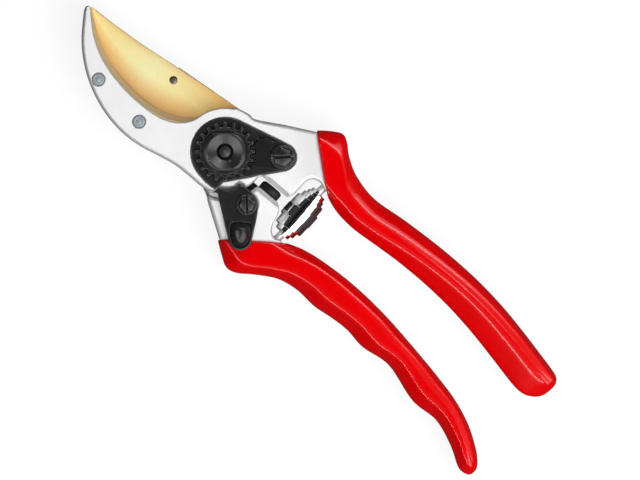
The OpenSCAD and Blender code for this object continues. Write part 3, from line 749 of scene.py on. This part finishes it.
def across_attribute(ob, back, edge):
    """Stores how far each point is from the back to the edge, and from the tip to the heel."""
    b, e = np.array(smooth(back, 8)), np.array(smooth(edge, 8))
    co = np.array([v.co for v in ob.data.vertices]) / MM
    mid = (b + e) / 2
    near = np.argmin(np.hypot(co[:, None, 0] - mid[None, :, 0], co[:, None, 1] - mid[None, :, 1]), axis=1)
    span = e[near] - b[near]
    share = ((co[:, :2] - b[near]) * span).sum(1) / np.maximum((span ** 2).sum(1), 1e-6)
    for name, values in (("across", np.clip(share, 0, 1)), ("along", near / (len(b) - 1))):
        a = ob.data.attributes.new(name, "FLOAT", "POINT")
        a.data.foreach_set("value", values.astype(np.float32))


def cutting_section(width):
    """Flat back, slightly hollow face, and the bevel on the underside from 0.62 across to the edge."""
    z0, z1 = BLADE_Z
    hollow = min(0.32, 0.02 * width)
    top = [(s, z1 - hollow * max(0.0, math.sin(math.pi * s)) ** 0.8) for s in np.linspace(0, 1, 13)]
    k = min(0.3 / max(width, 1), 0.2)
    return ([(0.0, z0 + 0.25), (0.0, z1 - 0.25), (k, z1 - 0.01)] + top[1:]
            + [(1.0, z1 - 0.12), (0.80, z0 + 1.35), (0.66, z0 + 0.12), (0.62, z0), (k, z0)])


def hook_section(width):
    """Flat, with a bevel up to 1.9 mm wide that leaves a 0.7 mm thick inner edge."""
    z0, z1 = HOOK_Z
    land = 1 - min(1.9, 0.7 * width) / width
    k = min(0.3 / max(width, 1), 0.2)
    return [(0.0, z1 - 0.2), (0.0, z0 + 0.2), (k, z0), (1.0, z0), (0.975, z0 + 0.66), (0.968, z0 + 0.72),
            (1 - (1 - land) * 0.5, z0 + 0.5 * (0.72 + 2.5)), (land, z1 - 0.02), (land - 0.02, z1), (k, z1)]


def disc(name, r, z0, z1, bore):
    k = 0.25
    return turn(name, [(bore, z0), (r - k, z0), (r, z0 + k), (r, z1 - k), (r - k, z1), (bore, z1)])


blade = blade_strip("coated_blade", BLADE_SPINE, BLADE_EDGE, cutting_section)
blade = boolean(blade, fix_normals(disc("blade_disc", REAR_HUB_R, *BLADE_Z, BOLT_RUN_R)))
blade = bored(bored(blade, BOLT_RUN_R, 14), 1.45, 14, PIN_AT, 48)
across_attribute(blade, BLADE_SPINE, BLADE_EDGE)
crisp(blade, 28)
finish_piece(blade, GOLD, "blade_coated", "blade_half", "cutting_blade")

hook = blade_strip("hook_counter_blade", PLATE_OUTER, PLATE_EDGE, hook_section)
hook = boolean(hook, fix_normals(disc("hook_disc", HOOK_DISC_R, *HOOK_Z, BOLT_FIT_R)))
hook = bored(hook, BOLT_FIT_R, 16)
crisp(hook, 28)
finish_piece(hook, HOOK_STEEL_WITH_PAINTED_REFLECTION, "hardened_steel", "hook_half", "hook_plate")
# Painted shade on the hook plate's disc where it shows in the gap
paint_gap_shade(hook, lambda x, y, z: y < 0 and z > HOOK_Z[1] - 0.3)

pin = turn("blade_pin_end", [(0, 3.0), (1.3, 3.0), (1.3, 9.95), (1.15, 10.1), (0.6, 10.16), (0, 10.17)],
           PIN_AT, 40)
finish_piece(fix_normals(pin), steel("pin_steel", (0.33, 0.29, 0.24), rough=(0.4, 0.55)), "bright_steel",
             "blade_half", "blade_pin")

rivets = []
rivet_top = FRONT_Z[1]
for i, p in enumerate(RIVETS_AT):
    rivet = turn(f"hook_rivet_{i + 1}", [
        (0, 10.4), (1.47, 10.4), (1.47, 16.1), (2.1, 16.1), (2.1, rivet_top - 0.14),
        (2.02, rivet_top - 0.06), (1.3, rivet_top - 0.02), (1.2, rivet_top - 0.07),
        (1.1, rivet_top - 0.07), (1.0, rivet_top - 0.02), (0, rivet_top)], p, 56)
    rivets.append(finish_piece(fix_normals(rivet), RIVET_STEEL, "bright_steel", "hook_half"))
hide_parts("hook_rivets")


# ---------- pivot hardware
def teardrop_field(x, y, z):
    """Let into the front forging with a 0.04 mm gap round it."""
    return np.maximum(prism(plan(TEARDROP, x, y) + 0.04, z, *PLATE_Z, 0.4, 0.0), BOLT_FIT_R - radius(x, y))


plate = carve("black_teardrop_plate", teardrop_field, (-13.2, -21, 16), (18.5, 13, 17.8), MEDIUM)
finish_piece(plate, BLACK, "black_steel", "hook_half", "teardrop_plate")


def nut_outline():
    """Rounded teeth: (radius, degrees from the tooth's middle) for its points and the gap after it."""
    pts = []
    pitch = 360 / NUT_TEETH
    half = ((10.45, 1.7), (10.2, 2.7), (9.6, 3.3), (9.05, 4.4), (8.82, 6.2))
    tooth = [(r, -t) for r, t in half[::-1]] + [(10.5, 0)] + list(half) + [(8.72, pitch / 2)]
    for i in range(NUT_TEETH):
        pts += [spot(r, pitch * (i + 0.5) + t) for r, t in tooth]
    return pts


def nut_field(x, y, z):
    """A toothed flange, a boss with two flats and a dished top, and the hole for the bolt's end."""
    r = radius(x, y)
    w = (y + x) * math.sqrt(0.5)
    flange = prism(plan(nut_outline(), x, y), z, NUT_Z0, NUT_Z0 + 2.2, 0.28, 0.1)
    wall = prism(np.maximum(r - 7.75, np.abs(w) - 6.25), z, NUT_Z0 + 1, NUT_TOP, 0.45, 0.0)
    dish = (z - NUT_Z0 - 5.0 + 0.40 * np.maximum(6.9 - r, 0)) * 0.93
    dome = (z - NUT_Z0 - 5.3 + 0.55 * np.maximum(r - 5.6, 0)) * 0.88
    boss = both(both(wall, dome, 0.4), dish, 0.35)
    groove = np.maximum(np.abs(r - 8.15) - 0.18, NUT_Z0 + 2.05 - z)
    d = cut(melt(flange, boss, 0.35), groove, 0.12)
    return cut(d, np.maximum(r - 2.8, NUT_Z0 + 0.5 - z), 0.25)


nut = carve("toothed_nut", nut_field, (-10.6, -10.6, 17.3), (10.6, 10.6, 22.9), FINE)
finish_piece(nut, BLACK, "black_steel", "hook_half", "pivot_nut")

bolt = turn("pivot_bolt_body", [
    (0, 0.0), (6.4, 0.0), (6.9, 0.25), (7.0, 0.5), (7.0, 1.9), (6.8, 2.2), (4.0, 2.2), (4.0, 17.9),
    (2.3, 17.9), (2.15, NUT_TOP - 2.1), (2.05, NUT_TOP - 1.3), (1.8, NUT_TOP - 0.85),
    (1.3, NUT_TOP - 0.6), (0.7, NUT_TOP - 0.5), (0, NUT_TOP - 0.48)])
finish_piece(fix_normals(bolt), BRIGHT, "bright_steel", "hook_half", "pivot_bolt")
bolt.data.materials.append(BLACK)  # its end, which shows in the nut
for f in bolt.data.polygons:
    if f.center.z > 17.5 * MM:
        f.material_index = 1
bolt.data.set_sharp_from_angle(angle=math.radians(35))


def tooth_row(angles, r_root, r_tip, root, tip):
    """Teeth that point at the pivot, with half angles root and tip."""
    half = ((r_root, root), ((r_root + r_tip) / 2, (root + tip) / 2), (r_tip, tip))
    tooth = list(half) + [(r, -t) for r, t in half[::-1]]
    return [spot(r, a + t) for a in angles for r, t in tooth]


SEGMENT = (tooth_row([-36, -54, -72], 10.9, 9.25, 5.0, 2.4) + [(3.4, -11.3), (4.8, -12.9)]
           + arc(4.5, 218, 395, 28, SEGMENT_AT)
           + [(15.5, -10.5), (14.2, -8.8), (13.9, -7.4), (13.5, -6.5), (12.4, -6.0), (11.9, -5.4),
              (11.6, -4.4), (11.0, -4.6), (10.9, -5.6)])


def segment_field(x, y, z):
    return prism(plan(SEGMENT, x, y), z, PLATE_Z[1], SEGMENT_TOP, 0.3, 0.0)


segment = carve("toothed_lock_segment", segment_field, (3, -20.5, 17.2), (18, -4.2, 19.5), FINE)
finish_piece(segment, BLACK_DARK, "black_steel", "hook_half", "lock_segment")


def screw_field(at, low, seat, r_head, slot, angle):
    """The field of a low hexagonal head with a domed top and a slot, on a plain shank."""
    def field(x, y, z):
        u, v = local(x, y, at, angle)
        r = radius(x, y, at)
        hexagon = r * 0
        for k in range(6):
            t = math.radians(60 * k + 8)
            hexagon = np.maximum(hexagon, u * math.cos(t) + v * math.sin(t))
        head = prism(r - r_head, z, seat, seat + 0.9, 0.3, 0.05)
        crown = seat + 2.02
        sides = (hexagon - 0.80 * r_head + 0.55 * (z - seat - 0.9)) * 0.87
        cap = both(sides, (z - crown + 0.055 * r * r) * 0.93, 0.35)
        head = melt(head, np.maximum(cap, seat - z), 0.2)
        head = cut(head, np.maximum(np.abs(v) - slot / 2, seat + 0.45 - z), 0.12)
        shank = np.maximum(r - 2.5, np.maximum(low - z, z - seat - 0.2))
        return np.minimum(head, shank)
    return field


screw = carve("slotted_segment_screw", screw_field(SEGMENT_AT, 13.0, SEGMENT_TOP, 4.2, 1.15, -42),
              (8.6, -20.1, 12.8), (17.4, -11.3, 21.5), FINEST)
finish_piece(screw, BLACK, "black_steel", "hook_half", "segment_screw")


# ---------- thumb catch
def pad_field(x, y, z):
    """A half egg, cut off slanting at its inner end."""
    u, v = local(x, y, THUMB_AT, THUMB_TURN)
    h = z - CATCH_Z[1]
    ball = (np.sqrt(((u - 1.0) / 5.7) ** 2 + (v / 3.55) ** 2 + ((h + 0.3) / 3.5) ** 2) - 1) * 3.3
    d = both(ball, u - 3.9 + 0.35 * h, 1.6)
    return np.maximum(d, CATCH_Z[1] - 0.5 - z)


def catch_field(x, y, z):
    """A flat lever with a shallow moat round the thumb pad and a hole for the screw."""
    d = prism(plan(CATCH, x, y), z, *CATCH_Z, 0.42, 0.15)
    u, v = local(x, y, THUMB_AT, THUMB_TURN)
    moat = (np.sqrt(((u - 1.0) / 6.1) ** 2 + (v / 3.9) ** 2) - 1) * 4
    moat = both(moat, u - 4.2, 0.8)
    d = cut(d, np.maximum(moat, CATCH_Z[1] - 0.8 - z), 0.2)
    return np.maximum(d, 2.55 - radius(x, y, CATCH_AT))


lever = carve("black_catch_lever", catch_field, (-22.3, -29.8, 17.5), (-3.2, -6.9, 20.2), MEDIUM)
finish_piece(lever, BLACK, "black_steel", "catch", "catch_lever")
pad = carve("domed_thumb_pad", pad_field, (-22.5, -30, CATCH_Z[1] - 0.8), (-12, -19.5, 23.6), MEDIUM)
finish_piece(pad, GLOSS, "black_plastic", "catch", "thumb_pad")
catch_screw = carve("slotted_catch_screw", screw_field(CATCH_AT, 6.4, CATCH_Z[1] + 0.05, 3.6, 0.8, 48),
                    (-11.5, -22.4, 6.2), (-3.9, -14.8, 22.2), FINE)
finish_piece(catch_screw, BLACK, "black_steel", "blade_half", "catch_screw")

# ---------- rubber bumper
facet = np.array(REAR_ARM[1]) - np.array(REAR_ARM[0])
bumper_at = np.array(REAR_ARM[0]) + 0.57 * facet
bumper_turn = math.atan2(facet[1], facet[0]) + math.pi / 2
bumper = turn("rubber_stop", [
    (0, -4.8), (2.0, -4.8), (2.0, 0), (3.9, 0), (4.1, 0.25), (4.1, 2.1), (3.9, 2.65), (3.4, 3.0),
    (2.6, 3.18), (0, 3.2)], segments=64)
fix_normals(bumper)
bumper.data.transform(Matrix.Translation((bumper_at[0] * MM, bumper_at[1] * MM, (GRIP_MID + 0.5) * MM))
                      @ Matrix.Rotation(bumper_turn, 4, "Z") @ Matrix.Rotation(math.pi / 2, 4, "Y"))
finish_piece(bumper, RUBBER, "black_rubber", "blade_half", "rubber_bumper")


# ---------- spring
# By turn: how far along its axis the strip is from the middle, and its outer radius
SPRING_TURNS = (-3, -2, -1, 0, 1, 2, 3, 4)
SPRING_PLACES = (-7.3, -5.9, -4.3, 0.0, 4.3, 5.9, 7.3, 8.6)
SPRING_RADII = (2.9, 3.8, 5.3, 5.9, 5.35, 4.2, 3.5, 2.8)
SPRING_MIDDLE = 10.9
SPRING_STEPS = 72
STRIP_WIDTH, STRIP_THICK = 4.6, 0.42


def eased(t, values):
    """values at turn t, averaged over 0.4 turns each side."""
    return float(np.mean([np.interp(t + o, SPRING_TURNS, values) for o in np.linspace(-0.4, 0.4, 9)]))


def spring_rings():
    """The strip's sections: a flat bar with small chamfers, leaning in towards both ends."""
    a, b = np.array((*SPRING_FROM, GRIP_MID)), np.array((*SPRING_TO, GRIP_MID))
    e = (b - a) / np.linalg.norm(b - a)
    side, up = np.array((-e[1], e[0], 0)), np.array((0, 0, 1.0))
    middle = a + e * SPRING_MIDDLE
    section = ((-0.5, 0.08), (-0.475, 0), (0.475, 0), (0.5, 0.08), (0.5, STRIP_THICK - 0.08),
               (0.475, STRIP_THICK), (-0.475, STRIP_THICK), (-0.5, STRIP_THICK - 0.08))
    first, last = SPRING_TURNS[0], SPRING_TURNS[-1]
    rings = []
    for t in np.linspace(first, last, (last - first) * SPRING_STEPS + 1):
        angle = 2 * math.pi * t + math.radians(90)
        at, r = eased(t, SPRING_PLACES), eased(t, SPRING_RADII)
        lean = -0.05 * max(-2.0, min(2.0, t))
        out = math.cos(angle) * side + math.sin(angle) * up
        rings.append([middle + e * (at + w) + out * (r - deep + lean * w)
                      for w, deep in ((share * STRIP_WIDTH, deep) for share, deep in section)])
    return rings


spring = fix_normals(loft("flat_strip_spring", spring_rings()))
spring.data.materials.append(CHROME)
spring.data.set_sharp_from_angle(angle=math.radians(30))
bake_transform(spring)
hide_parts("volute_spring")


# ---------- grips
def grip_section(f1, f2, crown, soft):
    """Closed section, u from 0 to 1 across and v from -1 to 1 in height; f1 and f2 are its shoulders,
    crown is the rise between them, and soft rounds the second one."""
    flank = 0.60 - 0.36 * f1
    upper = [(0.0, 0.0), (0.0, 0.7 * flank), (0.03, flank), (0.5 * f1, 0.5 * flank + 0.49),
             (f1 - 0.06, 0.94), (f1 + 0.03, 0.985), (0.5 * (f1 + f2), 1.0 + crown),
             (f2 - 0.04 - 0.10 * soft, 0.985), (f2 + 0.05, 0.95 - 0.01 * soft),
             (0.5 + 0.5 * f2, 0.79 + 0.03 * soft), (0.965, 0.54), (1.0, 0.30), (1.0, 0.0)]
    lower = [(u, -v) for u, v in upper[-2:0:-1]]
    ctrl = np.array(upper + lower)
    n, per = len(ctrl), 4
    out = []
    for i in range(n):
        p = [ctrl[(i + k - 1) % n] for k in range(4)]
        for k in range(per):
            t = k / per
            w = ((1 - t) ** 3, 3 * t ** 3 - 6 * t * t + 4, -3 * t ** 3 + 3 * t * t + 3 * t + 1, t ** 3)
            out.append(sum(wi * pi for wi, pi in zip(w, p)) / 6)
    out = np.array(out)
    out[:, 0] = (out[:, 0] - out[:, 0].min()) / (out[:, 0].max() - out[:, 0].min())
    out[:, 1] /= np.abs(out[:, 1]).max()
    return out


def grip_heights(n):
    """Half heights at the n stations: rising from the mouth, falling slowly, then a rounded end."""
    end = (1, 0.93, 0.80, 0.58, 0.30)
    rising = [7.6 + 0.9 * i / 6 for i in range(6)]
    falling = [8.5 - 1.3 * ((i - 6) / (n - 11)) ** 2 for i in range(6, n - 5)]
    return rising + falling + [7.2 * share for share in end]


def grip(name, left, right, shoulders):
    """A sleeve between two side lines; shoulders lists (y, f1, f2, crown, soft) from mouth to end."""
    per, walled = 8, 22
    l, r = np.array(smooth(left, per)), np.array(smooth(right, per))
    h = np.array(smooth([(v, 0) for v in grip_heights(len(left))], per))[:, 0]
    stations, *values = zip(*shoulders)
    rings, inner = [], []
    for i in range(len(l)):
        y = (l[i][1] + r[i][1]) / 2
        sec = grip_section(*(float(np.interp(-y, [-s for s in stations], v)) for v in values))
        width = np.linalg.norm(r[i] - l[i])
        skin = GRIP_SKIN / width
        rings.append([(*(l[i] + (r[i] - l[i]) * ((1 + 2 * skin) * u - skin)), GRIP_MID + h[i] * v)
                      for u, v in sec])
        if i < walled:
            k = GRIP_WALL / width
            inner.append([(*(l[i] + (r[i] - l[i]) * (k + (1 - 2 * k) * u)),
                           GRIP_MID + (h[i] - GRIP_WALL) * v) for u, v in sec])
    # A rounded lip at the mouth, then down the inside for a little way
    back = [np.array(p) for p in rings[0]]
    ahead = np.array(rings[1]) - np.array(rings[0])
    step = ahead.mean(0) / np.linalg.norm(ahead.mean(0))
    centre = np.mean(back, axis=0)
    lip = []
    for inset, shift in ((1.0, 0.0), (0.45, 0.02), (0.15, 0.15), (0.03, 0.4)):
        lip.append([tuple(p + (centre - p) / np.linalg.norm(centre - p) * inset + step * shift)
                    for p in back])
    rings = inner[::-1] + lip + rings[1:]
    return fix_normals(loft(name, rings))


left_grip = grip("red_grip_rear", REAR_GRIP_OUTER, REAR_GRIP_INNER, [
    (-29, 0.13, 0.74, 0.01, 0), (-33, 0.22, 0.76, 0.02, 0), (-40, 0.33, 0.79, 0.02, 0),
    (-60, 0.36, 0.79, 0.02, 0), (-80, 0.38, 0.80, 0.02, 0.4), (-100, 0.40, 0.80, 0.02, 1),
    (-120, 0.38, 0.80, 0.02, 1), (-138, 0.42, 0.74, 0.02, 1)])
finish_piece(left_grip, RED, "red_grip", "blade_half", "rear_grip")
right_grip = grip("red_grip_front", FRONT_GRIP_INNER, FRONT_GRIP_OUTER, [
    (-27, 0.22, 0.86, 0.01, 0), (-32, 0.20, 0.72, 0.02, 0), (-40, 0.22, 0.54, 0.02, 0),
    (-60, 0.32, 0.60, 0.02, 0), (-80, 0.43, 0.67, 0.02, 0.4), (-100, 0.52, 0.75, 0.02, 0.8),
    (-120, 0.57, 0.82, 0.02, 1), (-138, 0.60, 0.82, 0.02, 1)])
finish_piece(right_grip, RED, "red_grip", "hook_half", "front_grip")

# ---------- pieces kept from the CAD model
for name, mat, width in (("thrust_washer", BRONZE, 0.1), ("catch_wave_washer", BRIGHT, 0.08)):
    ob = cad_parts[name]
    ob.data.materials.clear()
    ob.data.materials.append(mat)
    soften(ob, width)

# ---------- studio
def grey(v):
    return (v, v, v)


AIM = (0, -0.04, 0)

# White paper to the camera, dark felt to all other rays
paper_mesh = bpy.data.meshes.new("studio_floor")
paper_mesh.from_pydata([(-6, -6, 0), (6, -6, 0), (6, 6, 0), (-6, 6, 0)], [], [(0, 1, 2, 3)])
floor = bpy.data.objects.new("studio_floor", paper_mesh)
scene.collection.objects.link(floor)
floor_material = bpy.data.materials.new("studio_floor_paper")
floor_material.use_nodes = True
fnt = floor_material.node_tree
fnt.nodes.clear()
paper = node(fnt, "ShaderNodeBsdfDiffuse")
fnt.links.new(colours(fnt, texture(fnt, 0.004, 2), [(0.3, grey(0.26)), (0.7, grey(0.28))]),
              paper.inputs["Color"])
glow = node(fnt, "ShaderNodeEmission", Strength=0.88)
add = node(fnt, "ShaderNodeAddShader")
fnt.links.new(paper.outputs["BSDF"], add.inputs[0])
fnt.links.new(glow.outputs["Emission"], add.inputs[1])
felt = node(fnt, "ShaderNodeBsdfDiffuse", Color=(*grey(0.10), 1))
seen = node(fnt, "ShaderNodeLightPath")
pick = node(fnt, "ShaderNodeMixShader")
fnt.links.new(seen.outputs["Is Camera Ray"], pick.inputs["Fac"])
fnt.links.new(felt.outputs["BSDF"], pick.inputs[1])
fnt.links.new(add.outputs["Shader"], pick.inputs[2])
fnt.links.new(pick.outputs["Shader"], node(fnt, "ShaderNodeOutputMaterial").inputs["Surface"])
floor.data.materials.append(floor_material)

# White to the camera; to all other rays greys by height, and darker on the blade's side (+Y)
world = bpy.data.worlds.new("studio_world")
scene.world = world
world.use_nodes = True
wnt = world.node_tree
split = node(wnt, "ShaderNodeSeparateXYZ")
wnt.links.new(node(wnt, "ShaderNodeTexCoord").outputs["Generated"], split.inputs["Vector"])
sky = colours(wnt, split.outputs["Z"], [
    (0.0, grey(0.05)), (0.35, grey(0.10)), (0.60, (0.40, 0.40, 0.41)), (0.90, (0.34, 0.34, 0.35)),
    (0.97, grey(0.05)), (1.0, grey(0.03))])
sideways = colours(wnt, spread(wnt, split.outputs["Y"], 0, 1, (-1, 1)), [
    (0.0, grey(1)), (0.40, grey(1)), (0.56, grey(0.12)), (1.0, grey(0.12))])
ray = node(wnt, "ShaderNodeLightPath").outputs["Is Camera Ray"]
wnt.links.new(mixed(wnt, mixed(wnt, sky, sideways, 1.0, "MULTIPLY"), (1.0, 1.0, 1.0, 1), ray),
              wnt.nodes["Background"].inputs["Color"])


def softbox(name, at, size, radiance):
    """A rectangular lamp that faces the object; size in metres."""
    data = bpy.data.lights.new(name, "AREA")
    data.shape, data.size, data.size_y = "RECTANGLE", size[0], size[1]
    data.energy = radiance * math.pi * size[0] * size[1]
    ob = bpy.data.objects.new(name, data)
    ob.location = at
    ob.rotation_euler = (Vector(AIM) - Vector(at)).to_track_quat("-Z", "Y").to_euler()
    ob.visible_camera = False
    scene.collection.objects.link(ob)
    return ob


def polar(theta, azimuth, distance):
    """A place above AIM: theta from straight up, azimuth from +X, in degrees."""
    t, a = math.radians(theta), math.radians(azimuth)
    across = distance * math.sin(t)
    return (across * math.cos(a), across * math.sin(a) + AIM[1], distance * math.cos(t))


def only(light, *pieces):
    """The light falls on these pieces alone, as a flagged lamp does."""
    group = bpy.data.collections.new(light.name + "_falls_on")
    for piece in pieces:
        group.objects.link(piece)
    light.light_linking.receiver_collection = group


grips = (left_grip, right_grip)
flats = (front, rear, blade, hook, *rivets, bolt)
blacks = (nut, plate, segment, screw, catch_screw, lever, pad, spring)
softbox("softbox_grip_end", polar(40, -90, 1.5), (1.3, 1.25), 2.75)
only(softbox("softbox_top", polar(0, 0, 1.5), (0.62, 0.62), 2.75), *flats)
only(softbox("softbox_right", polar(48, 12, 1.5), (0.9, 0.9), 1.6), *grips, blade, hook, *blacks)
only(softbox("softbox_black_parts", polar(35, 150, 1.5), (0.9, 0.9), 1.6),
     nut, plate, pad, screw, catch_screw)
for name, side in (("strip_left", -1), ("strip_right", 1)):
    strip = softbox(name, polar(44, 90 - 90 * side, 1.2), (0.13, 1.8), 6.6)
    strip.rotation_euler = (0, side * math.radians(44), 0)
    if side > 0:
        strip.location.y += 0.85
    only(strip, *grips, hook, *blacks)

# Looks straight down, turned as in the photo; the picture's width is in metres, at z = 10 mm
PICTURE_WIDTH = 0.2256
HEIGHT = 3.0
SENSOR = 36
camera = bpy.data.cameras.new("camera")
camera.sensor_width = SENSOR
camera.lens = SENSOR * (HEIGHT - 0.010) / PICTURE_WIDTH
cam = bpy.data.objects.new("camera", camera)
cam.location = (0.00167, -0.0455, HEIGHT)
cam.rotation_euler = (0, 0, math.radians(-45))
camera.clip_start, camera.clip_end = 0.05, 20
scene.collection.objects.link(cam)
scene.camera = cam
scene.view_settings.view_transform = "Standard"
scene.view_settings.look = "None"
